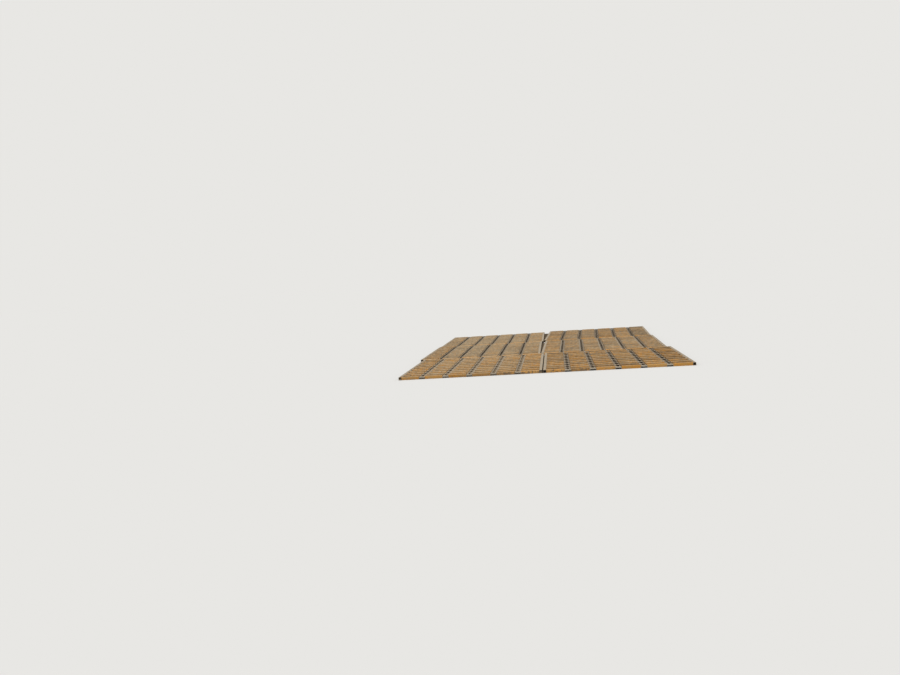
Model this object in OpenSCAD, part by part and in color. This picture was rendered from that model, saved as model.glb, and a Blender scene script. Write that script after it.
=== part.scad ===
// Portable cattle grid for a gravel road, laid flat on the road as six welded modules:
// two side by side and three along the road. Each module is a galvanised frame of side
// rails and slotted bearers, with six columns of short yellow ribs welded between them.
// +Y runs along the road and +Z up. The origin is the middle of the grid, on the road.

/* [Modules] */
// Width of one module, across the road
module_w = 3048; // [2600:4:3660]
// Length of one module, along the road
module_l = 3048; // [2600:4:3660]

/* [How the modules lie] */
// Gap between the left and right modules where they are closest
seam_gap = 22; // [6:1:60]
// Gap along the road from a module's farthest corner to the next module's nearest one
row_gap = 16; // [6:1:60]
// How far the middle row lies to the left of the near row
middle_step = 90; // [0:5:120]
// How far the far row lies to the left of the near row
far_step = 50; // [0:5:120]
// Degrees that the middle right module has slewed clockwise
middle_right_slew = 1.5; // [0:0.5:4]
// Degrees that the far right module has slewed clockwise
far_right_slew = 3; // [0:0.5:4]

/* [Ribs] */
// Ribs in each column
rib_count = 11; // [6:1:14]
// Height of a rib above the road
rib_h = 62; // [50:1:90]
// Width of a rib at its top
rib_top_w = 72; // [50:1:90]
// Width of a rib at its foot
rib_foot_w = 90; // [70:1:120]
// Sheet thickness of a rib
rib_t = 4; // [3:0.5:6]
// Inside radius of a rib's bends
rib_bend = 6; // [2:0.5:9]

/* [Bearers] */
// Width of a bearer
bearer_w = 126; // [110:1:150]
// Height of a bearer above the road
bearer_h = 50; // [36:1:54]
// Plate thickness of a bearer
bearer_t = 5; // [3:0.5:8]
// Inside radius of a bearer's bends
bearer_bend = 6; // [2:0.5:10]
// Width of the slots in a bearer's top
slot_w = 54; // [30:1:66]
// Metal left between one slot and the next
slot_bridge = 46; // [30:1:120]
// Depth of the lip that closes the top of a bearer's mouth at each end
lip_h = 24; // [10:1:30]

/* [Side rails] */
// Width of a side rail
rail_w = 60; // [50:1:80]
// Wall thickness of a side rail
rail_t = 4; // [3:0.5:6]
// Outside corner radius of a side rail
rail_corner = 8; // [4:0.5:12]

/* [Hidden] */

// Rows of modules from the near end, and the sides of the seam
ROWS = ["near", "middle", "far"];
SIDES = ["left", "right"];

// How far each row lies to the left, and how far its left and right modules have slewed
STEPS = [0, middle_step, far_step];
SLEWS = [[0, 0], [0, middle_right_slew], [0, far_right_slew]];

// Columns of ribs in a module, counted from the seam outwards
columns = 6;
bearer_count = columns - 1;

// The ribs fill what the rails and bearers leave of the width
rib_l = (module_w - 2 * rail_w - bearer_count * bearer_w) / columns;
column_pitch = rib_l + bearer_w;
rail_h = rib_h;

// The end ribs stand flush with the module's ends, and the rest divide the length
rib_pitch = (module_l - rib_foot_w) / (rib_count - 1);
slot_l = rib_pitch - slot_bridge;

// Overrun of a cutter past the face it cuts
cut = 1;
$fn = 48;

// Outline of one face of a pressed channel that stands on its edges: a flat top at height
// top, walls that lean in by lean degrees down to height foot, and bends of radius r
module channel_outline(half_top, top, foot, lean, r) {
    tangent = r * tan((90 - lean) / 2);
    half_foot = half_top + (top - foot) * tan(lean);
    wall_x = half_top + tangent * sin(lean);
    wall_y = top - tangent * cos(lean);
    polygon([
        [-half_foot, foot], [-wall_x, wall_y], [tangent - half_top, top],
        [half_top - tangent, top], [wall_x, wall_y], [half_foot, foot]
    ]);
    for (side = [-1, 1]) translate([side * (half_top - tangent), top - r]) circle(r);
}

// Section of a channel pressed from sheet of thickness t, open underneath, with an
// inside bend radius
module channel_section(top_w, foot_w, h, t, inside) {
    lean = atan((foot_w - top_w) / 2 / h);
    inner_half_top = top_w / 2 + t * tan(lean) - t / cos(lean);
    difference() {
        channel_outline(top_w / 2, h, 0, lean, inside + t);
        channel_outline(inner_half_top, h - t, -cut, lean, inside);
    }
}

// Square tube with round corners
module tube_section(w, h, t, corner) {
    difference() {
        round_rect(w, h, corner);
        translate([t, t]) round_rect(w - 2 * t, h - 2 * t, corner - t);
    }
}

module round_rect(w, h, r) {
    translate([r, 0]) square([w - 2 * r, h]);
    translate([0, r]) square([w, h - 2 * r]);
    for (x = [r, w - r], y = [r, h - r]) translate([x, y]) circle(r);
}

// Stands a section up in XZ and runs it along Y, centred on Y = 0
module along_y(length) {
    translate([0, length / 2, 0]) rotate([90, 0, 0]) linear_extrude(length) children();
}

// Stands a section up in YZ and runs it along +X
module along_x(length) {
    rotate([90, 0, 90]) linear_extrude(length) children();
}

// Slot with round ends, cut through a bearer's top
module bearer_slot() {
    reach = (slot_l - slot_w) / 2;
    translate([0, 0, bearer_h - bearer_t - cut]) linear_extrude(bearer_t + 2 * cut) {
        square([slot_w, 2 * reach], center = true);
        for (end = [-1, 1]) translate([0, end * reach]) circle(slot_w / 2);
    }
}

// Lip that closes the top of a bearer's mouth and reaches halfway into its plate
module lip_section() {
    into = bearer_t / 2;
    intersection() {
        channel_outline(bearer_w / 2 - into, bearer_h - into, 0, 0, bearer_bend + into);
        translate([-bearer_w / 2, bearer_h - lip_h]) square([bearer_w, lip_h]);
    }
}

// One bearer along Y, with a slot beside each gap between ribs and a lip at each end
module bearer() {
    difference() {
        along_y(module_l)
            channel_section(bearer_w, bearer_w, bearer_h, bearer_t, bearer_bend);
        for (i = [0:rib_count - 2])
            translate([0, (i + 0.5 - (rib_count - 1) / 2) * rib_pitch, 0]) bearer_slot();
    }
    for (end = [-1, 1])
        translate([0, end * (module_l - bearer_t) / 2, 0]) along_y(bearer_t) lip_section();
}

module side_rail() {
    along_y(module_l) tube_section(rail_w, rail_h, rail_t, rail_corner);
}

// Frame of a module that reaches from X = 0, at the seam, to X = module_w
module frame() {
    color([0.62, 0.6, 0.55]) {
        side_rail();
        translate([module_w - rail_w, 0, 0]) side_rail();
        for (i = [1:bearer_count])
            translate([rail_w + i * column_pitch - bearer_w / 2, 0, 0]) bearer();
    }
}

// One column of ribs, the first being next to the seam
module ribs(column) {
    color([0.85, 0.58, 0.16])
        for (i = [0:rib_count - 1])
            translate([
                rail_w + (column - 1) * column_pitch,
                (i - (rib_count - 1) / 2) * rib_pitch,
                0
            ])
                along_x(rib_l) channel_section(rib_top_w, rib_foot_w, rib_h, rib_t, rib_bend);
}

// Half of the room that a slewed module takes up, across and along the road
function half_room(slew) = [
    module_w * cos(slew) + module_l * sin(slew),
    module_l * cos(slew) + module_w * sin(slew)
] / 2;

// Middle of a module, where X = 0 is the near row's seam and Y = 0 the near edge
function middle_x(r, s) = (2 * s - 1) * (seam_gap / 2 + half_room(SLEWS[r][s])[0]) - STEPS[r];
function middle_y(r, s) =
    half_room(SLEWS[r][s])[1]
    + (r == 0 ? 0 : middle_y(r - 1, s) + half_room(SLEWS[r - 1][s])[1] + row_gap);

// Middle of the room that the whole grid takes up
rooms = [
    for (r = [0:2], s = [0:1])
        let (c = [middle_x(r, s), middle_y(r, s)], h = half_room(SLEWS[r][s]))
        [c - h, c + h]
];
grid_middle = [
    for (axis = [0:1])
        (min([for (room = rooms) room[0][axis]]) + max([for (room = rooms) room[1][axis]])) / 2
];

// Puts a module's piece in its place. The left modules are turned end for end, so that
// columns are counted from the seam in every module.
module in_place(r, s) {
    translate([middle_x(r, s) - grid_middle[0], middle_y(r, s) - grid_middle[1], 0])
        rotate(180 * (1 - s) - SLEWS[r][s])
            translate([-module_w / 2, 0, 0]) children();
}

for (r = [0:2], s = [0:1]) {
    name = str(ROWS[r], "_", SIDES[s]);
    in_place(r, s) frame();
    for (column = [1:columns])
        in_place(r, s) ribs(column);
}
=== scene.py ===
"""Finishes a portable cattle grid of six modules: worn yellow paint on the ribs, dull zinc on the
frames, weld beads at the rib ends, dried mud on, in and between the frames, and a plain studio."""

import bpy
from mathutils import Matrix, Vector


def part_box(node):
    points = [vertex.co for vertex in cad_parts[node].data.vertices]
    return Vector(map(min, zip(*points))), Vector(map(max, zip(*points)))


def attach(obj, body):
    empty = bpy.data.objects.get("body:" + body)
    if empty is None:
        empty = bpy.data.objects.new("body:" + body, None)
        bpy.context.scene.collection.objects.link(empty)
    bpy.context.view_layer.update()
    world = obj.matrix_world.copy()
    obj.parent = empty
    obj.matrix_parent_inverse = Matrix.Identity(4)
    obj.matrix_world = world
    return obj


bl_info = {
    "name": "Cattle grid finishes",
    "version": (1, 0, 0),
    "blender": (4, 5, 0),
    "location": "3D View > Sidebar > Cattle grid",
    "description": "Paints, welds and muddies a cattle grid and lights it in a plain studio",
    "category": "Object",
}

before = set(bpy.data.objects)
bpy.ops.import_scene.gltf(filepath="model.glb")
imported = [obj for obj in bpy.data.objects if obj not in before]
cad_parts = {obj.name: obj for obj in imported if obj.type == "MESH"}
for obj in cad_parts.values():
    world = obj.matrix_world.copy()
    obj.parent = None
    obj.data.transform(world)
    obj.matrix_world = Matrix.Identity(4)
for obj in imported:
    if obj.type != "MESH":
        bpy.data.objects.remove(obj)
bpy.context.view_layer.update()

import math
from collections import namedtuple

import bpy
import numpy as np
from bpy.props import FloatProperty, FloatVectorProperty, IntProperty, PointerProperty
from mathutils import Matrix, Vector, noise

# How the grid is made up: rows from the near end, and columns of ribs counted from the seam
ROWS = ("near", "middle", "far")
SIDES = ("left", "right")
COLUMNS = 6
RIBS_A_COLUMN = 11

# Sizes in metres that the boxes of the nodes don't give, as in the part's source
RIB_TOP, RIB_FOOT = 0.072, 0.090
BEARER_TOP, BEARER_PLATE, BEARER_CORNER = 0.050, 0.005, 0.011
RAIL_WALL, RAIL_CORNER = 0.004, 0.008
SLOT_WIDTH, SLOT_BRIDGE = 0.054, 0.046

# The module whose boxes give the rest of the sizes, because it lies square to the axes
SQUARE_MODULE = "near_right"


def box_size(node):
    low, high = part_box(node)
    return high - low


def box_middle(node):
    low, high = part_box(node)
    return (low + high) / 2


RIB_LENGTH, MODULE_LENGTH, RIB_HEIGHT = box_size(f"{SQUARE_MODULE}_ribs_1")
MODULE_WIDTH = box_size(f"{SQUARE_MODULE}_frame").x
COLUMN_PITCH = (box_middle(f"{SQUARE_MODULE}_ribs_2") - box_middle(f"{SQUARE_MODULE}_ribs_1")).x
BEARER_WIDTH = COLUMN_PITCH - RIB_LENGTH
RAIL_WIDTH = (MODULE_WIDTH - COLUMNS * COLUMN_PITCH + BEARER_WIDTH) / 2
RIB_PITCH = (MODULE_LENGTH - RIB_FOOT) / (RIBS_A_COLUMN - 1)
RIB_LEAN = math.atan((RIB_FOOT - RIB_TOP) / 2 / RIB_HEIGHT)

# How dusty the columns are, as shares of dust on the ribs' faces. Dust is thickest in a drift along the
# left modules, and the rest are the rows and columns that stand out from that.
LEAST_DUST, DRIFT_DUST, DRIFT_X, DRIFT_WIDTH = 0.38, 0.2, -1.9, 1.4
ROW_DUST = {"near": 0.0, "middle": 0.28, "far": 0.26}
COLUMN_DUST = {
    ("near_left", 6): -0.08, ("near_right", 5): -0.12, ("near_right", 6): -0.1,
    ("middle_left", 3): -0.12, ("middle_left", 6): -0.24,
    ("middle_right", 1): -0.12, ("middle_right", 6): -0.14,
    ("far_right", 1): -0.14, ("far_right", 4): -0.22, ("far_right", 5): -0.18, ("far_right", 6): 0.1,
}

# How much dark grime lies on the ribs: more away from the drift of dust and on the outermost columns,
# and how much darker some modules are made with the same colour
LEAST_GRIME, AWAY_GRIME, OUTER_GRIME = -0.12, 0.1, 0.09
DARKER_MODULES = {"near_right": 0.15, "middle_right": 0.04, "far_right": 0.15}

# How much the ribs of one column differ in dust and grime, and how patchy each is on a rib
DUST_LUCK, GRIME_LUCK, DUST_PATCHY, GRIME_PATCHY = 0.28, 0.3, 2.2, 1.0

# How much more dust lies on the ribs' tops, how much painted shade with damp grime darkens their walls low
# down between the ribs, and how far wear reaches along their top edges
TOP_DUST, LOW_GRIME_AND_SHADE, EDGE_WEAR = 0.35, 0.4, 0.3

# The mud at the feet of the ribs' walls, of the end ribs' outer walls and of the frames
FOOT_MUD, END_FOOT_MUD, RAIL_FOOT_MUD = 0.16, 0.06, 0.3

# How much soil lies on the outermost columns and rails
SOIL_SHARE, RAIL_SOIL = 0.035, 0.1

# The end ribs: the dust on their outer walls, how clean their tops are beside those, how far the walls
# are clear of grime, the mud on those that are muddy, and how much darker some are made
END_DUST, CLEAN_END_TOP, CLEAN_WALL = 0.1, 0.6, 0.7
MUDDY_ENDS = {
    ("near_left", 1): 0.12, ("near_left", 2): 0.17, ("near_left", 4): 0.08,
    ("near_right", 1): 0.05, ("near_right", 2): 0.12,
}
DARKER_END_WALLS = {
    ("near_left", 2): 0.15, ("near_left", 3): 0.3, ("near_left", 4): 0.3, ("near_left", 5): 0.05,
    ("near_left", 6): 0.15, ("near_right", 2): 0.18, ("near_right", 4): 0.08,
}

# How much dark dirt and painted shade lies round and in the slots of each module, and along its bearers'
# outer edges
SLOT_DIRT_AND_SHADE = {
    "near_left": 0.55, "near_right": 0.95, "middle_left": 0.6,
    "middle_right": 0.5, "far_left": 0.5, "far_right": 1.0,
}
EDGE_DIRT_AND_SHADE = {
    "near_left": 0.0, "near_right": 1.0, "middle_left": 0.1,
    "middle_right": 0.9, "far_left": 0.15, "far_right": 0.9,
}

# The dark dirt and painted shade beside a slot of a clean module, and how much of a module's dirt and
# painted shade lies on the metal between slots. The outer edges' share of it is less near the seam and
# between slots.
CLEAN_SLOT, RUNG_DIRT_AND_SHADE, EDGE_BY_SEAM, EDGE_BETWEEN_SLOTS = 0.4, 0.15, 0.4, 0.7

# How far inside a slot's ends and a bearer's ends the dark dirt and painted shade start, and are full
SLOT_DARK_STARTS, LIP_DARK_STARTS = (0.02, 0.06), (0.03, 0.07)

# The dark grime that lies everywhere on the bearers of each side, and what lies on the metal between
# slots in the modules where it is rubbed cleaner
LEAST_BEARER_DIRT = {"left": 0.45, "right": 0.33}
CLEAN_RUNGS = {"near_left": 0.1, "near_right": 0.0}

# The grime on the side rails, the deep mud colour painted on the seam's walls as the seam's shade, how dark
# the mud in the seam is with that shade painted in, and how much of the dirt and painted shade beside the
# slots lies on the caked mud too
RAIL_DIRT, SEAM_DIRT_AND_SHADE, SEAM_DARK, CAKE_DIRT_AND_SHADE = 0.15, 0.95, 0.65, 0.6

# How dark the mud in a module's bearers is, with the bearers' shade painted in, where it isn't as dark as
# can be, and how much deeper it is in the dustiest module
HOLLOW_MUD_AND_SHADE = {"near_left": 0.2}
DEEPER_FILL = {"near_left": 0.02}

# How glossy the ribs and the dusty frames are
PAINT_GLOSS, DUSTY_GLOSS = 0.4, 0.2

# Margins by which a point counts as on a face
SLACK, SKIN = 0.001, 0.0005

Module = namedtuple("Module", "name row side number middle heading")


def find_module(number, row, side):
    """Where a module lies. Its own X runs from the seam outwards, and its middle is the origin."""
    name = f"{row}_{side}"
    first, last = box_middle(f"{name}_ribs_1"), box_middle(f"{name}_ribs_{COLUMNS}")
    across = last - first
    middle = Vector(((first.x + last.x) / 2, (first.y + last.y) / 2, 0))
    return Module(name, row, side, number, middle, math.atan2(across.y, across.x))


MODULES = [
    find_module(number, row, side)
    for number, (row, side) in enumerate((row, side) for row in ROWS for side in SIDES)
]


def rib_middle(rib):
    """Y of a rib's middle in its module."""
    return (rib - (RIBS_A_COLUMN - 1) / 2) * RIB_PITCH


def bearer_middle(bearer):
    """X of a bearer's middle in its module, the first bearer being 1."""
    return -MODULE_WIDTH / 2 + RAIL_WIDTH + bearer * COLUMN_PITCH - BEARER_WIDTH / 2


def srgb(red, green, blue):
    """A colour written from 0 to 255, as Blender's linear one."""
    shares = [value / 255 for value in (red, green, blue)]
    return [s / 12.92 if s <= 0.04045 else ((s + 0.055) / 1.055) ** 2.4 for s in shares]


def colour_property(name, description, default):
    return FloatVectorProperty(
        name=name, description=description, subtype="COLOR", size=3, min=0, max=1, default=default
    )


def length_property(name, description, default):
    return FloatProperty(
        name=name, description=description, subtype="DISTANCE", unit="LENGTH", precision=4, default=default
    )


def share_property(name, description, default):
    return FloatProperty(
        name=name, description=description, subtype="FACTOR", min=0, max=1, default=default
    )


class PaintProps(bpy.types.PropertyGroup):
    """The ribs' paint"""
    fresh: colour_property("Fresh paint", "Paint where nothing has rubbed it", srgb(220, 152, 48))
    faded: colour_property("Faded paint", "Paint where sun and use have dulled it", srgb(206, 154, 78))
    steel: colour_property("Bare steel", "Steel where the paint has worn through", srgb(92, 82, 74))
    rust: colour_property("Rust", "Rust round worn places", srgb(112, 62, 34))
    wear: share_property("Wear", "How much of the top edges has lost its paint", 0.45)


class ZincProps(bpy.types.PropertyGroup):
    """The frames' galvanised finish"""
    light: colour_property("Light zinc", "Lighter crystals of the zinc", srgb(190, 186, 176))
    dark: colour_property("Dark zinc", "Darker crystals of the zinc", srgb(150, 146, 138))
    crystal: length_property("Crystal", "Size of one crystal", 0.011)


class DirtProps(bpy.types.PropertyGroup):
    """Dust and mud on every surface"""
    dust: colour_property("Dust", "Dry dust", srgb(191, 169, 136))
    mud: colour_property("Mud", "Dried mud", srgb(126, 104, 78))
    # Deep mud is the grime on the ribs and rails, and also the painted shade round the slots, along the
    # bearers' outer edges and on the seam's walls
    deep: colour_property("Deep mud", "Damp mud and grime", srgb(74, 58, 40))
    # The hollow colour is mud with the shade inside the bearers and the seam painted in
    hollow: colour_property("Hollow", "Mud inside the bearers and the seam", srgb(42, 33, 25))
    crust: length_property("Crust", "Thickness of the mud caked on a bearer's top", 0.0025)
    fill: length_property("Fill", "Depth of the mud inside a bearer", 0.009)


class WeldProps(bpy.types.PropertyGroup):
    """The beads that hold each rib's ends"""
    leg: length_property("Leg", "Width of a bead on each plate", 0.005)
    ripple: length_property("Ripple", "Length of one ripple of a bead", 0.0038)
    colour: colour_property("Weld", "Weld metal", srgb(120, 104, 88))
    seed: IntProperty(name="Seed", description="Changes how the beads differ", default=7, min=0)


class StudioProps(bpy.types.PropertyGroup):
    """Camera, light and floor"""
    place: FloatVectorProperty(
        name="Place", description="Where the camera stands", subtype="TRANSLATION", unit="LENGTH",
        size=3, default=(0.317, -19.194, 2.083),
    )
    pitch: FloatProperty(
        name="Pitch", description="Tilt of the camera above the horizon", subtype="ANGLE",
        default=math.radians(-4.80),
    )
    roll: FloatProperty(
        name="Roll", description="Roll of the camera", subtype="ANGLE", default=math.radians(-4.15)
    )
    yaw: FloatProperty(
        name="Yaw", description="Turn of the camera to the left", subtype="ANGLE",
        default=math.radians(8.67),
    )
    lens: FloatProperty(name="Lens", description="Focal length", subtype="DISTANCE_CAMERA", default=28)
    sky: FloatProperty(name="Sky", description="Strength of the light from all round", default=0.62, min=0)
    sun: FloatProperty(name="Lamp", description="Strength of the soft lamp overhead", default=1.5, min=0)
    floor: colour_property("Floor", "The floor as the camera sees it", srgb(226, 225, 222))
    bounce: colour_property("Bounce", "The floor as it lights the grid", srgb(150, 146, 140))


GROUPS = {
    "grid_paint": PaintProps,
    "grid_zinc": ZincProps,
    "grid_dirt": DirtProps,
    "grid_weld": WeldProps,
    "grid_studio": StudioProps,
}

Surface = namedtuple("Surface", "colour rough metal height")

# The sockets of a Mix node: its amount and two inputs for numbers and for colours, and its colour output
MIX_NUMBERS, MIX_COLOURS, MIXED_COLOUR = (0, 2, 3), (0, 6, 7), 2


class Graph:
    """Adds nodes to a new material and wires them."""

    def __init__(self, name):
        self.material = bpy.data.materials.new(name)
        self.material.use_nodes = True
        self.tree = self.material.node_tree
        self.tree.nodes.clear()

    def add(self, kind, inputs=None, output=0, **settings):
        node = self.tree.nodes.new(kind)
        for setting, value in settings.items():
            setattr(node, setting, value)
        for socket, value in (inputs or {}).items():
            if isinstance(value, bpy.types.NodeSocket):
                self.tree.links.new(value, node.inputs[socket])
            elif value is not None:
                node.inputs[socket].default_value = value
        return node.outputs[output] if node.outputs else None

    def math(self, operation, a, b=0.0, c=0.0, clamp=False):
        return self.add("ShaderNodeMath", {0: a, 1: b, 2: c}, operation=operation, use_clamp=clamp)

    def times(self, first, *others):
        """The product of all that is given."""
        for other in others:
            first = self.math("MULTIPLY", first, other)
        return first

    def rest(self, share):
        """What a share leaves of 1."""
        return self.math("SUBTRACT", 1.0, share)

    def vary(self, value, noise, amount, clamp=False):
        """Moves a value up and down with noise that lies round 0.5."""
        return self.math("MULTIPLY_ADD", self.math("SUBTRACT", noise, 0.5), amount, value, clamp=clamp)

    def fade(self, value, start, end, low=0.0, high=1.0):
        """Goes smoothly from low to high while value goes from start to end."""
        sockets = {"Value": value, "From Min": start, "From Max": end, "To Min": low, "To Max": high}
        return self.add("ShaderNodeMapRange", sockets, interpolation_type="SMOOTHSTEP")

    def mix(self, amount, a, b):
        return self.add("ShaderNodeMix", dict(zip(MIX_NUMBERS, (amount, a, b))), data_type="FLOAT")

    def tint(self, amount, a, b):
        a, b = (value if isinstance(value, bpy.types.NodeSocket) else (*value[:3], 1) for value in (a, b))
        sockets = dict(zip(MIX_COLOURS, (amount, a, b)))
        return self.add("ShaderNodeMix", sockets, output=MIXED_COLOUR, data_type="RGBA")

    def noise(self, where, size, detail=3.0, rough=0.55, distortion=0.0):
        """Fractal noise round 0.5, with features of about the given size in metres."""
        return self.add("ShaderNodeTexNoise", {
            "Vector": where, "Scale": 1 / size, "Detail": detail, "Roughness": rough,
            "Distortion": distortion,
        })

    def split(self, vector):
        node = self.tree.nodes.new("ShaderNodeSeparateXYZ")
        self.tree.links.new(vector, node.inputs[0])
        return node.outputs

    def lay(self, below, above, amount):
        """One surface over another, where amount goes from 0 to 1."""
        return Surface(
            self.tint(amount, below.colour, above.colour),
            self.mix(amount, below.rough, above.rough),
            self.mix(amount, below.metal, above.metal),
            self.math("MULTIPLY_ADD", amount, above.height, below.height),
        )

    def finish(self, surface, gloss=0.5):
        """Ends the material. Heights are in metres."""
        bump = self.add("ShaderNodeBump", {"Strength": 1.0, "Distance": 1.0, "Height": surface.height})
        shader = self.add("ShaderNodeBsdfPrincipled", {
            "Base Color": surface.colour, "Roughness": surface.rough, "Metallic": surface.metal,
            "Normal": bump, "Specular IOR Level": gloss,
        })
        self.add("ShaderNodeOutputMaterial", {"Surface": shader})
        return self.material


# Sizes of the patterns in the materials, in metres
DUST_PATCH, DUST_GRAIN, DUST_FILM, ZINC_FILM, WELD_FILM, MUD_FILM = 0.07, 0.0025, 0.04, 0.05, 0.03, 0.03
MUD_CLOD, MUD_SPLASH, GRIME_SMEAR = 0.018, 0.05, 0.09
PAINT_FADING, PAINT_STAIN, PAINT_SCUFF = 0.25, 0.02, 0.012
STEEL_STREAK, ZINC_PATINA, WELD_SPECK = 0.006, 0.12, 0.008

# Heights of the bumps in them, in metres
GRAIN_BUMP, CLOD_BUMP, PAINT_BUMP, CRYSTAL_BUMP, SPECK_BUMP = 0.0006, 0.004, 0.0003, 0.0001, 0.0004

# Where noise fades from none to all of a pattern: for soft patches, for the sharp edges of splashed mud
# and for those of scuffs
SOFT, SPLASHED, SCUFFED = (0.35, 0.65), (0.62, 0.7), (0.66, 0.7)

# How the shades of dust and mud differ from their colours, and how rusty a stain in the paint is
DUST_SHADE, MUD_LIGHT, STAIN_RUST = 0.74, 1.35, 0.35

# The rise of a surface's normal from which it starts to count as level, and counts wholly
LEVEL = (0.25, 0.9)


def position(graph):
    """Position in the row frame, in metres."""
    return graph.add("ShaderNodeTexCoord", output="Object")


def module_space(graph, module):
    """Position in the module's own axes, in metres."""
    sockets = {"Vector": position(graph), "Location": module.middle, "Rotation": (0, 0, module.heading)}
    return graph.add("ShaderNodeMapping", sockets, vector_type="TEXTURE")


def upwards(graph):
    """1 where the surface faces up, 0 where it is upright or faces down."""
    normal = graph.add("ShaderNodeNewGeometry", output="Normal")
    return graph.fade(graph.split(normal)[2], *LEVEL)


def dust_surface(graph, where, colour):
    """Loose dust, lighter and darker in patches, with a fine grain."""
    patches = graph.noise(where, DUST_PATCH, detail=4)
    grain = graph.noise(where, DUST_GRAIN, detail=2)
    darker = [value * DUST_SHADE for value in colour]
    tone = graph.tint(graph.fade(patches, *SOFT), darker, colour)
    return Surface(tone, rough=0.95, metal=0.0, height=graph.times(grain, GRAIN_BUMP))


def mud_surface(graph, where, colour):
    """Dried mud with clods and cracks."""
    clods = graph.noise(where, MUD_CLOD, detail=5, rough=0.6)
    lighter = [min(1, value * MUD_LIGHT) for value in colour]
    tone = graph.tint(graph.fade(clods, 0.35, 0.7), colour, lighter)
    return Surface(tone, rough=1.0, metal=0.0, height=graph.times(clods, CLOD_BUMP))


def splashed(graph, surface, where, colour, more):
    """A surface with splashes of dried mud, which are larger where more is higher."""
    splashes = graph.noise(where, MUD_SPLASH, detail=6, rough=0.6, distortion=0.4)
    splashes = graph.math("ADD", splashes, more)
    return graph.lay(surface, mud_surface(graph, where, colour), graph.fade(splashes, *SPLASHED))


def paint_coat(graph, where, props):
    """Paint, faded in patches and stained with rust."""
    fading = graph.noise(where, PAINT_FADING, detail=4)
    stains = graph.noise(where, PAINT_STAIN, detail=5, rough=0.65)
    paint = graph.tint(graph.fade(fading, 0.4, 0.62), props.fresh, props.faded)
    paint = graph.tint(graph.fade(stains, 0.58, 0.75, high=STAIN_RUST), paint, props.rust)
    roughness = graph.fade(stains, 0.3, 0.7, low=0.42, high=0.6)
    return Surface(paint, rough=roughness, metal=0.0, height=PAINT_BUMP)


def worn_steel(graph, where, props):
    """Bare steel with streaks of rust."""
    streaks = graph.noise(where, STEEL_STREAK, detail=4, rough=0.7)
    return Surface(
        graph.tint(graph.fade(streaks, 0.42, 0.6), props.steel, props.rust),
        rough=graph.fade(streaks, 0.4, 0.6, low=0.5, high=0.9),
        metal=graph.fade(streaks, 0.42, 0.6, low=0.8, high=0.0),
        height=0.0,
    )


def drift_share(module, column):
    """1 for a column in the middle of the drift of dust, and less for the rest."""
    start = RAIL_WIDTH + (column - 0.5) * COLUMN_PITCH - BEARER_WIDTH / 2 - MODULE_WIDTH / 2
    place = module.middle.x + start * math.cos(module.heading)
    return math.exp(-((place - DRIFT_X) / DRIFT_WIDTH) ** 2)


def dust_share(module, column):
    """How much of a column's faces is under dust."""
    share = LEAST_DUST + DRIFT_DUST * drift_share(module, column) + ROW_DUST[module.row]
    return share + COLUMN_DUST.get((module.name, column), 0)


def grime_share(module, column):
    """How dark the grime on a column is, with its module's darkening."""
    share = LEAST_GRIME + DARKER_MODULES.get(module.name, 0) + AWAY_GRIME * (1 - drift_share(module, column))
    return share + (OUTER_GRIME if column == COLUMNS else 0)


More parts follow.
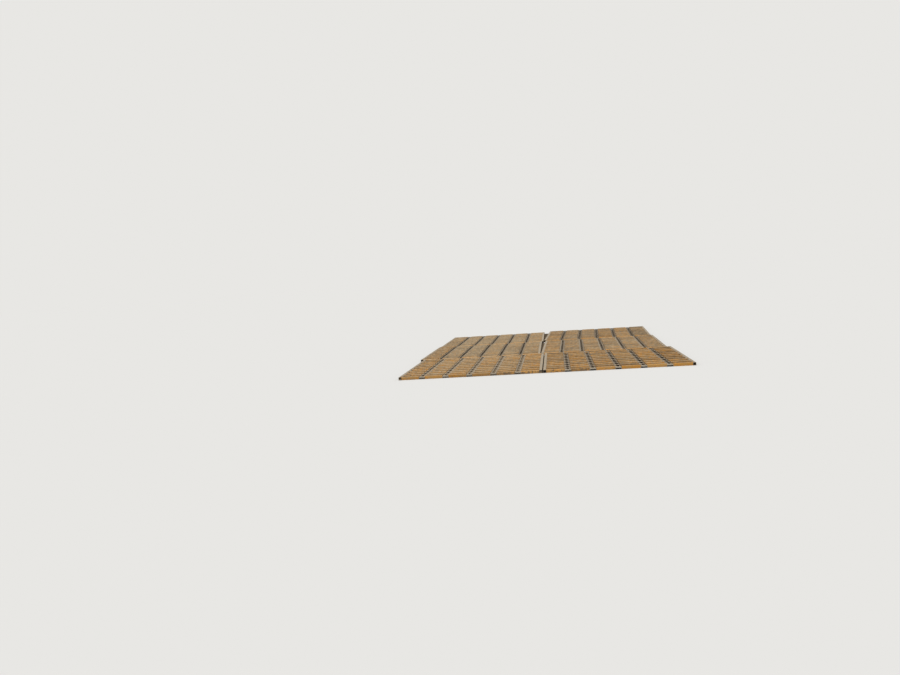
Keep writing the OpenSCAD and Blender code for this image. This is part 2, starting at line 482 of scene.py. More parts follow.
def rib_paint(module, column, scene):
    """The finish of one column of ribs."""
    paint, dirt = scene.grid_paint, scene.grid_dirt
    key = module.name, column
    graph = Graph(f"rib_paint_{module.name}_{column}")
    where = module_space(graph, module)
    _, y, z = graph.split(where)
    up = upwards(graph)
    rib = graph.math("DIVIDE", graph.math("ADD", y, (MODULE_LENGTH - RIB_FOOT) / 2), RIB_PITCH)
    rib_number = graph.math("ROUND", rib)
    seed = graph.add("ShaderNodeCombineXYZ", {"X": rib_number, "Y": column, "Z": module.number + 0.5})
    luck = graph.add("ShaderNodeTexWhiteNoise", {"Vector": seed}, output="Color", noise_dimensions="3D")
    dust_luck, grime_luck, _ = graph.split(luck)

    # The paint is worn through along the top edges
    off_middle = graph.math("ABSOLUTE", graph.times(graph.math("SUBTRACT", rib, rib_number), RIB_PITCH))
    top_edge = graph.fade(off_middle, RIB_TOP * 0.33, RIB_TOP * 0.5)
    top_edge = graph.times(top_edge, graph.fade(z, RIB_HEIGHT * 0.78, RIB_HEIGHT))
    scuffs = graph.noise(where, PAINT_SCUFF, detail=6, rough=0.7)
    scuffs = graph.math("MULTIPLY_ADD", top_edge, paint.wear * EDGE_WEAR, scuffs)
    whole = graph.rest(graph.fade(scuffs, *SCUFFED))
    surface = graph.lay(worn_steel(graph, where, paint), paint_coat(graph, where, paint), whole)

    # The end ribs have kept cleaner paint, above all on their outer walls
    from_middle = graph.math("ABSOLUTE", y)
    end = graph.fade(from_middle, (MODULE_LENGTH - RIB_FOOT) / 2, MODULE_LENGTH / 2 - RIB_FOOT / 3)
    outer = graph.times(end, graph.rest(up))
    clean = graph.fade(up, 0, 1, low=end, high=graph.times(end, CLEAN_END_TOP))
    share = graph.mix(clean, dust_share(module, column), END_DUST)
    share = graph.vary(share, dust_luck, DUST_LUCK)
    film = graph.noise(where, DUST_FILM, detail=5, rough=0.62)
    on_faces = graph.vary(share, film, DUST_PATCHY, clamp=True)
    on_tops = graph.math("ADD", on_faces, graph.mix(end, TOP_DUST, 0.0), clamp=True)
    surface = graph.lay(surface, dust_surface(graph, where, dirt.dust), graph.mix(up, on_faces, on_tops))

    # Painted shade with damp grime darkens the walls low down, between the ribs, on top of the other grime;
    # both clear off the outer walls, and some end ribs are darkened again
    grime_and_shade = graph.math("MULTIPLY_ADD", grime_luck, GRIME_LUCK, grime_share(module, column))
    smears = graph.noise(where, GRIME_SMEAR, detail=5, rough=0.6)
    grime_and_shade = graph.vary(grime_and_shade, smears, GRIME_PATCHY, clamp=True)
    low_shade_and_grime = graph.fade(z, RIB_HEIGHT * 0.85, RIB_HEIGHT * 0.4, high=LOW_GRIME_AND_SHADE)
    grime_and_shade = graph.math("ADD", grime_and_shade, low_shade_and_grime, clamp=True)
    grime_and_shade = graph.times(grime_and_shade, graph.rest(graph.times(outer, CLEAN_WALL)))
    grime_and_shade = graph.math("ADD", grime_and_shade, graph.times(end, DARKER_END_WALLS.get(key, 0.0)), clamp=True)
    surface = graph.lay(surface, Surface([*dirt.deep], rough=0.8, metal=0.0, height=0.0), grime_and_shade)

    foot = graph.fade(z, RIB_HEIGHT * 0.8, RIB_HEIGHT * 0.1)
    foot_mud = graph.times(foot, graph.mix(outer, FOOT_MUD, END_FOOT_MUD))
    soil = SOIL_SHARE if column == COLUMNS else 0.0
    more = graph.math("ADD", foot_mud, graph.mix(outer, soil, MUDDY_ENDS.get(key, 0.0)))
    return graph.finish(splashed(graph, surface, where, dirt.mud, more), gloss=PAINT_GLOSS)


def beside_bearer(graph, x):
    """How far a point lies from the middle of the nearest bearer, away from the seam positive."""
    past_first = graph.math("SUBTRACT", x, bearer_middle(1))
    return graph.math("WRAP", past_first, COLUMN_PITCH / 2, -COLUMN_PITCH / 2)


def beside_slot(graph, y):
    """1 where a slot lies beside the point on its bearer, 0 at the metal between slots."""
    half = RIB_PITCH / 2
    past_slot = graph.math("WRAP", graph.math("SUBTRACT", y, half), half, -half)
    starts, full = (half - SLOT_BRIDGE / 2 - inwards for inwards in SLOT_DARK_STARTS)
    beside = graph.fade(graph.math("ABSOLUTE", past_slot), starts, full)
    near_end = graph.fade(graph.math("ABSOLUTE", y), MODULE_LENGTH / 2 - half, MODULE_LENGTH / 2 - RIB_FOOT)
    return graph.times(beside, graph.rest(near_end))


def least_dirt(graph, module, beside):
    """How dark the grime is that lies everywhere on a module's bearers."""
    least = LEAST_BEARER_DIRT[module.side]
    return graph.mix(beside, CLEAN_RUNGS.get(module.name, least), least)


def outer_edge_dirt_and_shade(graph, module, x, beside):
    """How dark the dirt and painted shade along the bearers' outer edges are: less near the seam and
    between slots.
    """
    off = beside_bearer(graph, x)
    edge = graph.fade(off, SLOT_WIDTH / 3, BEARER_WIDTH / 2 - BEARER_CORNER, high=EDGE_DIRT_AND_SHADE[module.name])
    from_seam = graph.fade(x, -MODULE_WIDTH / 4, 0, low=EDGE_BY_SEAM, high=1.0)
    return graph.times(edge, from_seam, graph.mix(beside, EDGE_BETWEEN_SLOTS, 1.0))


def bearer_dirt_and_shade(graph, module, x, y, beside, film):
    """How dark the dirt and painted shade on a bearer are: darkest beside the slots and along its outer
    edge.
    """
    dirt_and_shade = SLOT_DIRT_AND_SHADE[module.name]
    dark = graph.mix(beside, dirt_and_shade * RUNG_DIRT_AND_SHADE, CLEAN_SLOT + (1 - CLEAN_SLOT) * dirt_and_shade)
    off = beside_bearer(graph, x)
    dark = graph.times(dark, graph.fade(off, -BEARER_WIDTH / 2, SLOT_WIDTH / 2, low=dirt_and_shade, high=1.0))
    dark = graph.math("MAXIMUM", dark, outer_edge_dirt_and_shade(graph, module, x, beside))
    dark = graph.times(dark, graph.fade(film, 0.3, 0.55, low=0.6, high=1.0))
    starts, full = (MODULE_LENGTH / 2 - inwards for inwards in LIP_DARK_STARTS)
    dark = graph.times(dark, graph.fade(graph.math("ABSOLUTE", y), starts, full))
    return graph.math("MAXIMUM", dark, least_dirt(graph, module, beside))


def hollow_mud_and_shade(graph, module, x, y, z, beside):
    """How dark the walls of a bearer's slots and hollow are: mud, with the shade inside the bearer painted
    in.
    """
    off = graph.math("ABSOLUTE", beside_bearer(graph, x))
    slot_wall = graph.times(
        graph.math("LESS_THAN", off, SLOT_WIDTH / 2 + SLACK),
        graph.math("LESS_THAN", z, BEARER_TOP - SKIN),
        graph.fade(beside, 0.1, 0.7),
    )
    hollow = graph.times(
        graph.math("LESS_THAN", z, BEARER_TOP - BEARER_PLATE + SKIN),
        graph.math("LESS_THAN", off, (BEARER_WIDTH - BEARER_PLATE) / 2),
    )
    lip = MODULE_LENGTH / 2 - BEARER_PLATE / 2
    behind_lip = graph.math("LESS_THAN", graph.math("ABSOLUTE", y), lip)
    inside = graph.math("MAXIMUM", hollow, slot_wall)
    return graph.times(inside, behind_lip, HOLLOW_MUD_AND_SHADE.get(module.name, 1.0))


def zinc_coat(graph, where, zinc):
    """Zinc in flat crystals, lighter and darker, under a patina."""
    sockets = {"Vector": where, "Scale": 1 / zinc.crystal}
    facet = graph.split(graph.add("ShaderNodeTexVoronoi", sockets, output="Color"))[0]
    patina = graph.noise(where, ZINC_PATINA, detail=5)
    tone = graph.math("MULTIPLY_ADD", facet, 0.5, patina, clamp=True)
    return Surface(
        graph.tint(tone, zinc.dark, zinc.light),
        rough=graph.fade(facet, 0, 1, low=0.45, high=0.62),
        metal=0.55,
        height=graph.times(facet, CRYSTAL_BUMP),
    )


def dull_zinc(module, scene):
    """The finish of one module's frame."""
    dirt = scene.grid_dirt
    graph = Graph(f"dull_zinc_{module.name}")
    where = module_space(graph, module)
    x, y, z = graph.split(where)
    surface = zinc_coat(graph, where, scene.grid_zinc)

    film = graph.noise(where, ZINC_FILM, detail=5, rough=0.62)
    foot = graph.fade(z, 0.03, 0.0, high=0.35)
    on_faces = graph.math("ADD", graph.fade(film, 0.35, 0.75, low=0.2, high=0.7), foot, clamp=True)
    on_tops = graph.fade(film, 0.3, 0.65, low=0.35, high=0.9)
    cover = graph.mix(upwards(graph), on_faces, on_tops)
    surface = graph.lay(surface, dust_surface(graph, where, dirt.dust), cover)

    beside = beside_slot(graph, y)
    rails_inside = MODULE_WIDTH / 2 - RAIL_WIDTH - SLACK
    on_bearer = graph.math("LESS_THAN", graph.math("ABSOLUTE", x), rails_inside)
    # The deep mud colour is even grime on the rails, and dirt with painted shade round the slots and along
    # the bearers' outer edges
    dark = graph.mix(on_bearer, RAIL_DIRT, bearer_dirt_and_shade(graph, module, x, y, beside, film))
    # The rails' seam-facing walls take the deep mud colour as the seam's painted shade
    in_seam = graph.math("LESS_THAN", x, 2 * SLACK - MODULE_WIDTH / 2)
    seam_wall = graph.fade(z, RIB_HEIGHT, RIB_HEIGHT - RAIL_CORNER, high=SEAM_DIRT_AND_SHADE)
    dark = graph.math("MAXIMUM", dark, graph.times(in_seam, seam_wall))
    surface = graph.lay(surface, mud_surface(graph, where, dirt.deep), dark)
    # The walls inside the bearers and their slots take the hollow colour: mud with painted shade
    inside = graph.times(hollow_mud_and_shade(graph, module, x, y, z, beside), on_bearer)
    surface = graph.lay(surface, mud_surface(graph, where, dirt.hollow), inside)

    outer_rail = graph.math("GREATER_THAN", x, rails_inside)
    more = graph.math("ADD", graph.times(foot, RAIL_FOOT_MUD), graph.times(outer_rail, RAIL_SOIL))
    return graph.finish(splashed(graph, surface, where, dirt.mud, more), gloss=DUSTY_GLOSS)


def weld_metal(scene):
    """Dusty weld metal with specks of rust."""
    graph = Graph("weld_metal")
    where = position(graph)
    specks = graph.noise(where, WELD_SPECK, detail=5, rough=0.65)
    colour = graph.tint(graph.fade(specks, *SOFT), scene.grid_weld.colour, scene.grid_paint.rust)
    surface = Surface(colour, rough=0.6, metal=0.4, height=graph.times(specks, SPECK_BUMP))
    cover = graph.fade(graph.noise(where, WELD_FILM, detail=4), *SOFT, low=0.1, high=0.7)
    return graph.finish(graph.lay(surface, dust_surface(graph, where, scene.grid_dirt.dust), cover))


def dried_mud(module, scene):
    """One module's mud: dusty on top of the bearers, dark where it lies deep, with the shade there painted
    in.
    """
    dirt = scene.grid_dirt
    graph = Graph(f"dried_mud_{module.name}")
    where = module_space(graph, module)
    x, y, z = graph.split(where)
    powder = graph.fade(graph.noise(where, MUD_FILM, detail=5), 0.3, 0.6, low=0.2, high=0.8)
    surface = graph.lay(mud_surface(graph, where, dirt.mud), dust_surface(graph, where, dirt.dust), powder)
    # Dirt with painted shade beside the slots and along the outer edges reaches onto the caked mud
    beside = beside_slot(graph, y)
    dark = graph.times(beside, CAKE_DIRT_AND_SHADE * SLOT_DIRT_AND_SHADE[module.name])
    dark = graph.math("MAXIMUM", dark, outer_edge_dirt_and_shade(graph, module, x, beside))
    surface = graph.lay(surface, mud_surface(graph, where, dirt.deep), dark)
    # Mud below the bearers' tops, and in the seam, takes the hollow colour, with the shade there painted in
    depth = graph.fade(
        z, BEARER_TOP - BEARER_PLATE, BEARER_TOP - 2 * BEARER_PLATE,
        low=least_dirt(graph, module, beside), high=HOLLOW_MUD_AND_SHADE.get(module.name, 1.0),
    )
    in_seam = graph.math("LESS_THAN", x, -MODULE_WIDTH / 2)
    depth = graph.times(depth, graph.mix(in_seam, 1.0, SEAM_DARK))
    surface = graph.lay(surface, mud_surface(graph, where, dirt.hollow), depth)
    return graph.finish(surface, gloss=DUSTY_GLOSS)


def studio_floor(studio):
    """Pale where the camera or a gloss sees it, duller where it lights the grid."""
    graph = Graph("studio_floor")
    rays = graph.add("ShaderNodeLightPath", output="Is Camera Ray")
    node = rays.node
    seen = graph.math("MAXIMUM", rays, node.outputs["Is Glossy Ray"])
    seen = graph.math("MAXIMUM", seen, node.outputs["Is Transmission Ray"])
    shader = graph.add("ShaderNodeBsdfDiffuse", {"Color": graph.tint(seen, studio.bounce, studio.floor)})
    graph.add("ShaderNodeOutputMaterial", {"Surface": shader})
    return graph.material


def set_material(node, material):
    """Gives a CAD node one material in all its slots."""
    slots = node.data.materials
    if not slots:
        slots.append(material)
    for index in range(len(slots)):
        slots[index] = material


def new_piece(name, points, faces, material):
    """Makes a mesh piece in the row frame, riding on the grid's one body."""
    mesh = bpy.data.meshes.new(name)
    mesh.from_pydata(points.tolist(), [], faces)
    mesh.shade_smooth()
    mesh.materials.append(material)
    piece = bpy.data.objects.new(name, mesh)
    bpy.context.scene.collection.objects.link(piece)
    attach(piece, "root")
    return piece


def in_row_frame(module, points):
    """Turns points in the module's own axes into the row frame."""
    points = np.asarray(points, float)
    across, along, up = points.T
    cos, sin = math.cos(module.heading), math.sin(module.heading)
    return np.column_stack([
        module.middle.x + cos * across - sin * along,
        module.middle.y + sin * across + cos * along,
        up,
    ])


class Heap:
    """Gathers points and faces of many small shapes into one mesh."""

    def __init__(self):
        self.points, self.faces = [], []

    def add(self, points, faces):
        start = sum(len(block) for block in self.points)
        self.points.append(np.asarray(points, float))
        self.faces += [[start + index for index in face] for face in faces]

    def piece(self, name, module, material, slot=None):
        return new_piece(name, in_row_frame(module, np.vstack(self.points)), self.faces, material)


# Section of a bead between two plates, as shares of its leg, from one plate round to the other
BEAD_SECTION = ((-0.08, -0.08), (1, -0.08), (0.82, 0.48), (0.48, 0.82), (-0.08, 1))
RINGS_A_RIPPLE, LEAST_RINGS = 2, 4

# How much the beads' legs differ, how far a ripple swells and how uneven it is. A bead is END_SIZE of
# its full size at its ends, and grows at the rate END_SLOPE.
LEG_SPREAD, SWELL, UNEVEN, END_SIZE, END_SLOPE = 0.15, 0.13, 0.05, 0.35, 4

# Where the beads at the bearers start, and how far from a bend the beads end
WELD_FOOT, BEND_MARGIN = 0.003, 0.002


def bead(heap, corner, low, high, away_from_rail, away_from_rib, leg, ripple, rng):
    """An upright bead in the corner that a rib's wall makes with a rail or bearer.
    corner(z) gives the corner's X and Y at a height, and the two signs give the open sides."""
    count = max(LEAST_RINGS, round((high - low) / ripple) * RINGS_A_RIPPLE)
    leg = leg * rng.uniform(1 - LEG_SPREAD, 1 + LEG_SPREAD)
    points = []
    for ring in range(count + 1):
        share = ring / count
        z = low + (high - low) * share
        swell = 1 + SWELL * math.cos(2 * math.pi * ring / RINGS_A_RIPPLE) + rng.uniform(-UNEVEN, UNEVEN)
        taper = min(1, END_SIZE + END_SLOPE * min(share, 1 - share))
        size = leg * swell * taper
        x, y = corner(z)
        for out, along in BEAD_SECTION:
            points.append((x + away_from_rail * out * size, y + away_from_rib * along * size, z))
    sides = len(BEAD_SECTION)
    faces = []
    for ring in range(count):
        for side in range(sides):
            a, b = ring * sides + side, ring * sides + (side + 1) % sides
            faces.append((a, b, b + sides, a + sides))
    faces.append(tuple(range(sides))[::-1])
    faces.append(tuple(range(count * sides, (count + 1) * sides)))
    if away_from_rail * away_from_rib < 0:
        faces = [face[::-1] for face in faces]
    heap.add(points, faces)


def rib_wall(rib, side):
    """Y of a rib's outer wall, as a function of height."""
    return lambda z: rib_middle(rib) + side * (RIB_TOP / 2 + (RIB_HEIGHT - z) * math.tan(RIB_LEAN))


def lay_welds(module, weld, material):
    """Four upright beads for each rib, where its two walls meet the frame at both ends."""
    rng = np.random.default_rng(weld.seed + module.number)
    heap = Heap()
    for column in range(COLUMNS):
        start = -MODULE_WIDTH / 2 + RAIL_WIDTH + column * COLUMN_PITCH
        for x, inwards in ((start, 1), (start + RIB_LENGTH, -1)):
            if abs(abs(x) - (MODULE_WIDTH / 2 - RAIL_WIDTH)) < SLACK:
                low, high = RAIL_CORNER, RIB_HEIGHT - RAIL_CORNER - BEND_MARGIN
            else:
                low, high = WELD_FOOT, BEARER_TOP - BEARER_CORNER + BEND_MARGIN
            for rib in range(RIBS_A_COLUMN):
                for side in (-1, 1):
                    wall = rib_wall(rib, side)
                    bead(heap, lambda z: (x, wall(z)), low, high, inwards, side, weld.leg, weld.ripple, rng)
    return heap.piece(f"{module.name}_welds", module, material, "galvanised_frame")


def without_corner_contacts(keep):
    """Drops cells that touch another at one corner only, so that every edge has two faces."""
    keep = keep.copy()
    while True:
        a, b, c, d = keep[:-1, :-1], keep[1:, :-1], keep[1:, 1:], keep[:-1, 1:]
        falling, rising = a & c & ~b & ~d, b & d & ~a & ~c
        if not (falling | rising).any():
            return keep
        keep[:-1, :-1][falling] = False
        keep[1:, :-1][rising] = False


def closed_sheet(heap, xs, ys, tops, bottom, keep=None):
    """A sheet with height tops over the cells that keep marks, or all, closed by a flat bottom."""
    columns, rows = len(xs), len(ys)
    if keep is None:
        keep = np.ones((columns - 1, rows - 1), bool)
    keep = without_corner_contacts(keep)
    number = -np.ones((columns, rows), int)
    used = np.zeros((columns, rows), bool)
    for i, j in ((0, 0), (1, 0), (1, 1), (0, 1)):
        used[i:columns - 1 + i, j:rows - 1 + j] |= keep
    number[used] = np.arange(used.sum())
    grid_x, grid_y = np.meshgrid(xs, ys, indexing="ij")
    top = np.column_stack([grid_x[used], grid_y[used], tops[used]])
    under = np.column_stack([grid_x[used], grid_y[used], np.full(used.sum(), bottom)])
    shift = len(top)
    faces = []
    edges = {}
    for i, j in np.argwhere(keep):
        ring = [number[i, j], number[i + 1, j], number[i + 1, j + 1], number[i, j + 1]]
        faces.append(ring)
        faces.append([index + shift for index in ring[::-1]])
        for a, b in zip(ring, ring[1:] + ring[:1]):
            if (b, a) in edges:
                del edges[b, a]
            else:
                edges[a, b] = True
    faces += [[b, a, a + shift, b + shift] for a, b in edges]
    heap.add(np.vstack([top, under]), faces)


# A distance past any edge, for places with no slot beside them
FAR = 1.0


def slot_distance(x, y):
    """How far a point of a bearer's top lies outside the nearest slot, from the bearer's middle."""
    along = (y / RIB_PITCH + (RIBS_A_COLUMN - 1) / 2) % 1 - 0.5
    straight = (RIB_PITCH - SLOT_BRIDGE - SLOT_WIDTH) / 2
    past = np.maximum(np.abs(along * RIB_PITCH) - straight, 0)
    beside = np.abs(y) < MODULE_LENGTH / 2 - RIB_FOOT / 2
    return np.where(beside, np.hypot(x, past) - SLOT_WIDTH / 2, FAR)


# How much weaker each finer layer of a lump's noise is, and how much finer
LUMP_FALL, LUMP_STEP = 0.8, 2.0


def lumps(xs, ys, size, seed, octaves=3):
    """Smooth noise round 0 on a grid."""
    return np.array([
        [noise.fractal(Vector((x / size, y / size, seed)), LUMP_FALL, LUMP_STEP, octaves) for y in ys]
        for x in xs
    ])


def lowest_of_cell(values):
    return np.minimum(
        np.minimum(values[:-1, :-1], values[1:, :-1]), np.minimum(values[:-1, 1:], values[1:, 1:])
    )


def highest_of_cell(values):
    return -lowest_of_cell(-values)


# What is added to the seeds of the mud's noise, so that the plugs, fills and seams differ from the cakes
PLUG_SEED, FILL_SEED, SEAM_SEED = 0.25, 0.5, 0.75

# Sizes of the lumps in a rail's plug, a cake, a fill and the seam's mud, and how high they are
PLUG_LUMP, CAKE_LUMP, FILL_LUMP, SEAM_LUMP = 0.03, 0.06, 0.07, 0.06
PLUG_ROUGH, CAKE_ROUGH, FILL_ROUGH = 0.5, 1.5, 0.8

# Points across and along each sheet of mud
PLUG_GRID, CAKE_GRID, FILL_GRID, SEAM_GRID = (9, 33), (15, 401), (7, 121), (7, 201)

# The bank of mud in a rail's mouth: where it starts, where it is highest, its height, spread and reach
PLUG_START, PLUG_TOP, PLUG_HEIGHT, PLUG_SPREAD, PLUG_REACH = 0.004, 0.02, 0.03, 0.1, 0.25


def plug_rails(heap, module):
    """Mud banked up in the mouths of the two side rails."""
    half = RAIL_WIDTH / 2 - RAIL_WALL - SLACK
    floor = RAIL_WALL + SKIN
    xs = np.linspace(-half, half, PLUG_GRID[0])
    inside = np.linspace(PLUG_START, PLUG_REACH, PLUG_GRID[1])
    bank = PLUG_HEIGHT * np.exp(-((inside - PLUG_TOP) / PLUG_SPREAD) ** 2)
    for number, (side, end) in enumerate(((-1, -1), (-1, 1), (1, -1), (1, 1))):
        rough = lumps(xs, inside, PLUG_LUMP, module.number * 4 + number + PLUG_SEED)
        tops = floor + np.clip(bank * (1 + PLUG_ROUGH * rough), SLACK, RAIL_WIDTH / 2)
        along = end * (MODULE_LENGTH / 2 - inside)
        if end > 0:
            along, tops = along[::-1], tops[:, ::-1]
        closed_sheet(heap, side * (MODULE_WIDTH - RAIL_WIDTH) / 2 + xs, along, tops, floor)


# The mud in the seam: its usual depth, the length over which it thins out at its ends, what is left of
# it there, how clear it stays of the rails, and the width that its lumps are made for
SEAM_FILL, SEAM_END, SEAM_THIN, SEAM_CLEAR, SEAM_SPAN = 0.012, 0.08, 0.1, 0.0005, 0.1


def in_module_axes(module, point):
    return Matrix.Rotation(-module.heading, 3, "Z") @ (Vector(point) - module.middle)


def fill_seam(heap, module, opposite):
    """Mud between a module's seam rail and that of the module on the other side of the seam."""
    wall = -MODULE_WIDTH / 2
    ends = [[wall, along, 0] for along in (MODULE_LENGTH / 2, -MODULE_LENGTH / 2)]
    far_wall = np.array([in_module_axes(module, end) for end in in_row_frame(opposite, ends)])
    start, end = max(far_wall[0, 1], -MODULE_LENGTH / 2), min(far_wall[1, 1], MODULE_LENGTH / 2)
    shares = np.linspace(0, 1, SEAM_GRID[0])
    ys = np.linspace(start + SEAM_CLEAR, end - SEAM_CLEAR, SEAM_GRID[1])
    thinned = np.clip(np.minimum(ys - start, end - ys) / SEAM_END, SEAM_THIN, 1)
    rough = lumps(shares * SEAM_SPAN, ys, SEAM_LUMP, module.number + SEAM_SEED)
    tops = np.clip(SEAM_FILL * (1 + FILL_ROUGH * rough) * thinned, SLACK, RAIL_WIDTH / 2)
    sheet = Heap()
    closed_sheet(sheet, shares, ys, tops, SKIN)
    points = np.vstack(sheet.points)
    from_x = np.interp(points[:, 1], far_wall[:, 1], far_wall[:, 0]) + SEAM_CLEAR
    points[:, 0] = from_x + points[:, 0] * (wall - SEAM_CLEAR - from_x)
    heap.add(points, sheet.faces)


# How far a cake of mud stays from edges, the width over which it thins out there, how deep it sits in
# the zinc, and how much of its height is taken off all over, so that it is left in patches
CAKE_CLEAR, CAKE_EDGE, CAKE_UNDER, CAKE_BARE = 0.003, 0.012, 0.0006, 0.75

# The mud banked up inside a bearer's mouths: how far in, how high and how wide. LEAST_FILL is the least
# depth between the mouths.
MOUND_IN, MOUND_HEIGHT, MOUND_SPREAD, LEAST_FILL = 0.11, 0.014, 0.04, 0.002


def cake_bearer(heap, module, bearer, crust):
    """Thin cakes of mud on a bearer's top, clear of its slots."""
    half = BEARER_WIDTH / 2 - BEARER_CORNER
    end = MODULE_LENGTH / 2 - CAKE_CLEAR
    xs, ys = np.linspace(-half, half, CAKE_GRID[0]), np.linspace(-end, end, CAKE_GRID[1])
    grid_x, grid_y = np.meshgrid(xs, ys, indexing="ij")
    away = slot_distance(grid_x, grid_y)
    inwards = np.minimum(np.minimum(away, half - np.abs(grid_x)), MODULE_LENGTH / 2 - np.abs(grid_y))
    edge = np.clip((inwards - CAKE_CLEAR) / CAKE_EDGE, 0, 1)
    cakes = lumps(xs, ys, CAKE_LUMP, module.number * COLUMNS + bearer, octaves=4)
    height = crust * (edge * (1 + CAKE_ROUGH * cakes) - CAKE_BARE)
    tops = BEARER_TOP + np.clip(height, -CAKE_UNDER, crust)
    keep = (highest_of_cell(height) > -CAKE_UNDER) & (lowest_of_cell(away) > CAKE_CLEAR)
    closed_sheet(heap, bearer_middle(bearer) + xs, ys, tops, BEARER_TOP - 2 * CAKE_UNDER, keep)


def fill_bearer(heap, module, bearer, fill):
    """Mud in a bearer's hollow, banked up inside its mouths."""
    half = BEARER_WIDTH / 2 - BEARER_PLATE - SLACK
    end = MODULE_LENGTH / 2 - 2 * BEARER_PLATE
    xs, ys = np.linspace(-half, half, FILL_GRID[0]), np.linspace(-end, end, FILL_GRID[1])
    from_mound = MODULE_LENGTH / 2 - MOUND_IN - np.abs(ys)
    mound = MOUND_HEIGHT * np.exp(-(from_mound / MOUND_SPREAD) ** 2)
    past_mouth = np.clip(from_mound / PLUG_REACH, 0, 1)
    deeper = DEEPER_FILL.get(module.name, 0) * past_mouth * (3 - 2 * past_mouth) * past_mouth
    rough = lumps(xs, ys, FILL_LUMP, module.number * COLUMNS + bearer + FILL_SEED)
    tops = np.clip(fill * (1 + FILL_ROUGH * rough) + mound, LEAST_FILL, BEARER_TOP / 2) + deeper
    closed_sheet(heap, bearer_middle(bearer) + xs, ys, tops, SKIN)


def pack_mud(module, dirt, material):
    """All of a module's mud: on and in its bearers, in its side rails, and in the seam beside the
    right modules."""
    heap = Heap()
    for bearer in range(1, COLUMNS):
        cake_bearer(heap, module, bearer, dirt.crust)
        fill_bearer(heap, module, bearer, dirt.fill)
    plug_rails(heap, module)
    if module.side == "right":
        fill_seam(heap, module, MODULES[module.number - 1])
    return heap.piece(f"{module.name}_mud", module, material)


class GRID_OT_paint_ribs(bpy.types.Operator):
    """Give every column of ribs its worn, dusty yellow paint"""
    bl_idname = "grid.paint_ribs"
    bl_label = "Paint the ribs"

    def execute(self, context):
        for module in MODULES:
            for column in range(1, COLUMNS + 1):
                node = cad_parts[f"{module.name}_ribs_{column}"]
                set_material(node, rib_paint(module, column, context.scene))
        return {"FINISHED"}


class GRID_OT_coat_frames(bpy.types.Operator):
    """Give every frame its dull, dusty zinc"""
    bl_idname = "grid.coat_frames"
    bl_label = "Coat the frames"

    def execute(self, context):
        for module in MODULES:
            set_material(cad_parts[f"{module.name}_frame"], dull_zinc(module, context.scene))
        return {"FINISHED"}


class GRID_OT_lay_welds(bpy.types.Operator):
    """Weld each rib's walls to the frame"""
    bl_idname = "grid.lay_welds"
    bl_label = "Lay the welds"

    def execute(self, context):
        material = weld_metal(context.scene)
        for module in MODULES:
            lay_welds(module, context.scene.grid_weld, material)
        return {"FINISHED"}


class GRID_OT_pack_mud(bpy.types.Operator):
    """Pack dried mud on and in the bearers, in the rails and in the seam"""
    bl_idname = "grid.pack_mud"
    bl_label = "Pack the mud"

    def execute(self, context):
        for module in MODULES:
            pack_mud(module, context.scene.grid_dirt, dried_mud(module, context.scene))
        return {"FINISHED"}


class GRID_OT_build_studio(bpy.types.Operator):
    """Make the floor, the light and the camera"""
    bl_idname = "grid.build_studio"
    bl_label = "Build the studio"

    def execute(self, context):
        studio = context.scene.grid_studio
        build_floor(studio)
        build_light(context.scene, studio)
        build_camera(context.scene, studio)
        return {"FINISHED"}


FLOOR_RADIUS, FLOOR_SIDES, FLOOR_DROP = 400.0, 96, 0.0005


def build_floor(studio):
    """A round floor, wide enough that its edge is the horizon."""
    angles = np.linspace(0, 2 * math.pi, FLOOR_SIDES, endpoint=False)
    rim = np.column_stack([np.cos(angles), np.sin(angles), np.zeros(FLOOR_SIDES)]) * FLOOR_RADIUS
    rim[:, 2] = -FLOOR_DROP
    mesh = bpy.data.meshes.new("floor")
    mesh.from_pydata(rim.tolist(), [], [tuple(range(FLOOR_SIDES))])
    mesh.materials.append(studio_floor(studio))
    floor = bpy.data.objects.new("floor", mesh)
    bpy.context.scene.collection.objects.link(floor)


# How the lamp leans from straight down, and how wide the light it gives is
LAMP_TILT, LAMP_ANGLE = (math.radians(18), math.radians(-14), 0), math.radians(50)


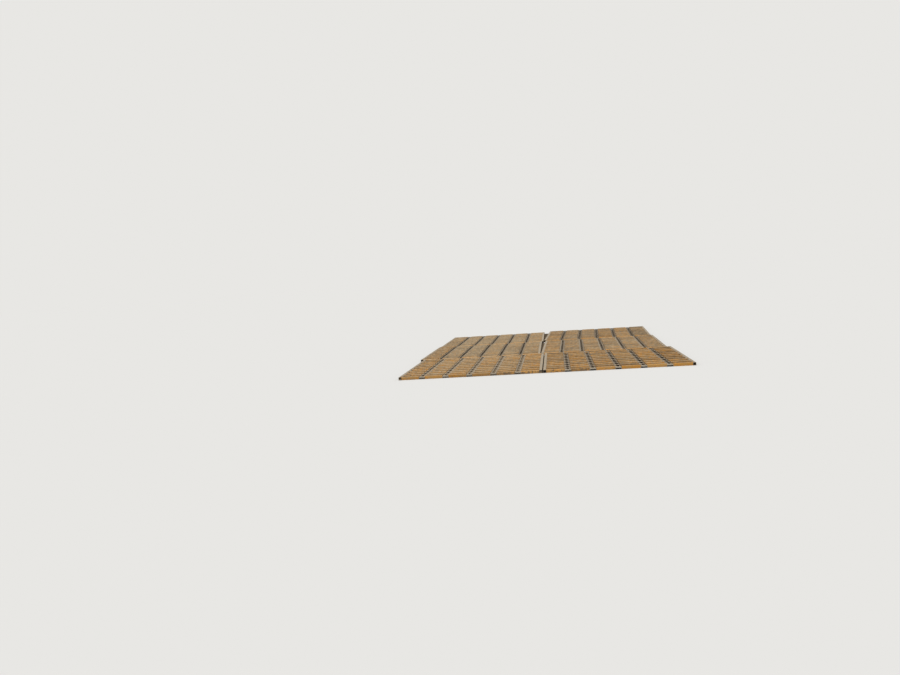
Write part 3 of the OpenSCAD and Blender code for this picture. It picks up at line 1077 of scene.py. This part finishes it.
def build_light(scene, studio):
    """Even light from all round, and a soft lamp high behind the camera. The backdrop is as bright as
    the lit floor, so that no line shows where they meet."""
    world = bpy.data.worlds.new("studio_sky")
    world.use_nodes = True
    nodes, links = world.node_tree.nodes, world.node_tree.links
    nodes.clear()
    rays = nodes.new("ShaderNodeLightPath")
    seen = rays.outputs["Is Camera Ray"]
    for other in ("Is Glossy Ray", "Is Transmission Ray"):
        either = nodes.new("ShaderNodeMath")
        either.operation = "MAXIMUM"
        links.new(seen, either.inputs[0])
        links.new(rays.outputs[other], either.inputs[1])
        seen = either.outputs[0]
    light, backdrop = nodes.new("ShaderNodeBackground"), nodes.new("ShaderNodeBackground")
    light.inputs["Color"].default_value = (1, 1, 1, 1)
    light.inputs["Strength"].default_value = studio.sky
    backdrop.inputs["Color"].default_value = (*studio.floor, 1)
    lamp_height = math.cos(LAMP_TILT[0]) * math.cos(LAMP_TILT[1])
    backdrop.inputs["Strength"].default_value = studio.sky + studio.sun * lamp_height / math.pi
    both = nodes.new("ShaderNodeMixShader")
    links.new(seen, both.inputs[0])
    links.new(light.outputs[0], both.inputs[1])
    links.new(backdrop.outputs[0], both.inputs[2])
    links.new(both.outputs[0], nodes.new("ShaderNodeOutputWorld").inputs["Surface"])
    scene.world = world
    lamp_data = bpy.data.lights.new("soft_lamp", "SUN")
    lamp_data.energy = studio.sun
    lamp_data.angle = LAMP_ANGLE
    lamp = bpy.data.objects.new("soft_lamp", lamp_data)
    lamp.rotation_euler = LAMP_TILT
    scene.collection.objects.link(lamp)
    scene.view_settings.view_transform = "Standard"


# In millimetres, as the lens is
SENSOR_WIDTH = 36


def build_camera(scene, studio):
    """A camera at the photo's viewing angle."""
    data = bpy.data.cameras.new("camera")
    data.lens = studio.lens
    data.sensor_width = SENSOR_WIDTH
    data.clip_end = 2 * FLOOR_RADIUS
    camera = bpy.data.objects.new("camera", data)
    scene.collection.objects.link(camera)
    camera.matrix_world = (
        Matrix.Translation(studio.place)
        @ Matrix.Rotation(studio.yaw, 4, "Z")
        @ Matrix.Rotation(math.pi / 2 + studio.pitch, 4, "X")
        @ Matrix.Rotation(studio.roll, 4, "Z")
    )
    scene.camera = camera


OPERATORS = (
    GRID_OT_paint_ribs,
    GRID_OT_coat_frames,
    GRID_OT_lay_welds,
    GRID_OT_pack_mud,
    GRID_OT_build_studio,
)


class GRID_PT_finishes(bpy.types.Panel):
    """Lists the grid's finishes and what makes them"""
    bl_label = "Cattle grid"
    bl_space_type = "VIEW_3D"
    bl_region_type = "UI"
    bl_category = "Cattle grid"

    def draw(self, context):
        for group in GROUPS:
            props = getattr(context.scene, group)
            box = self.layout.box()
            for name in props.__annotations__:
                box.prop(props, name)
        for operator in OPERATORS:
            self.layout.operator(operator.bl_idname)


CLASSES = (*GROUPS.values(), *OPERATORS, GRID_PT_finishes)


def register():
    for each in CLASSES:
        bpy.utils.register_class(each)
    for name, group in GROUPS.items():
        setattr(bpy.types.Scene, name, PointerProperty(type=group))


def unregister():
    for name in GROUPS:
        delattr(bpy.types.Scene, name)
    for each in reversed(CLASSES):
        bpy.utils.unregister_class(each)


def main():
    register()
    bpy.ops.grid.paint_ribs()
    bpy.ops.grid.coat_frames()
    bpy.ops.grid.lay_welds()
    bpy.ops.grid.pack_mud()
    bpy.ops.grid.build_studio()


if __name__ == "__main__":
    main()
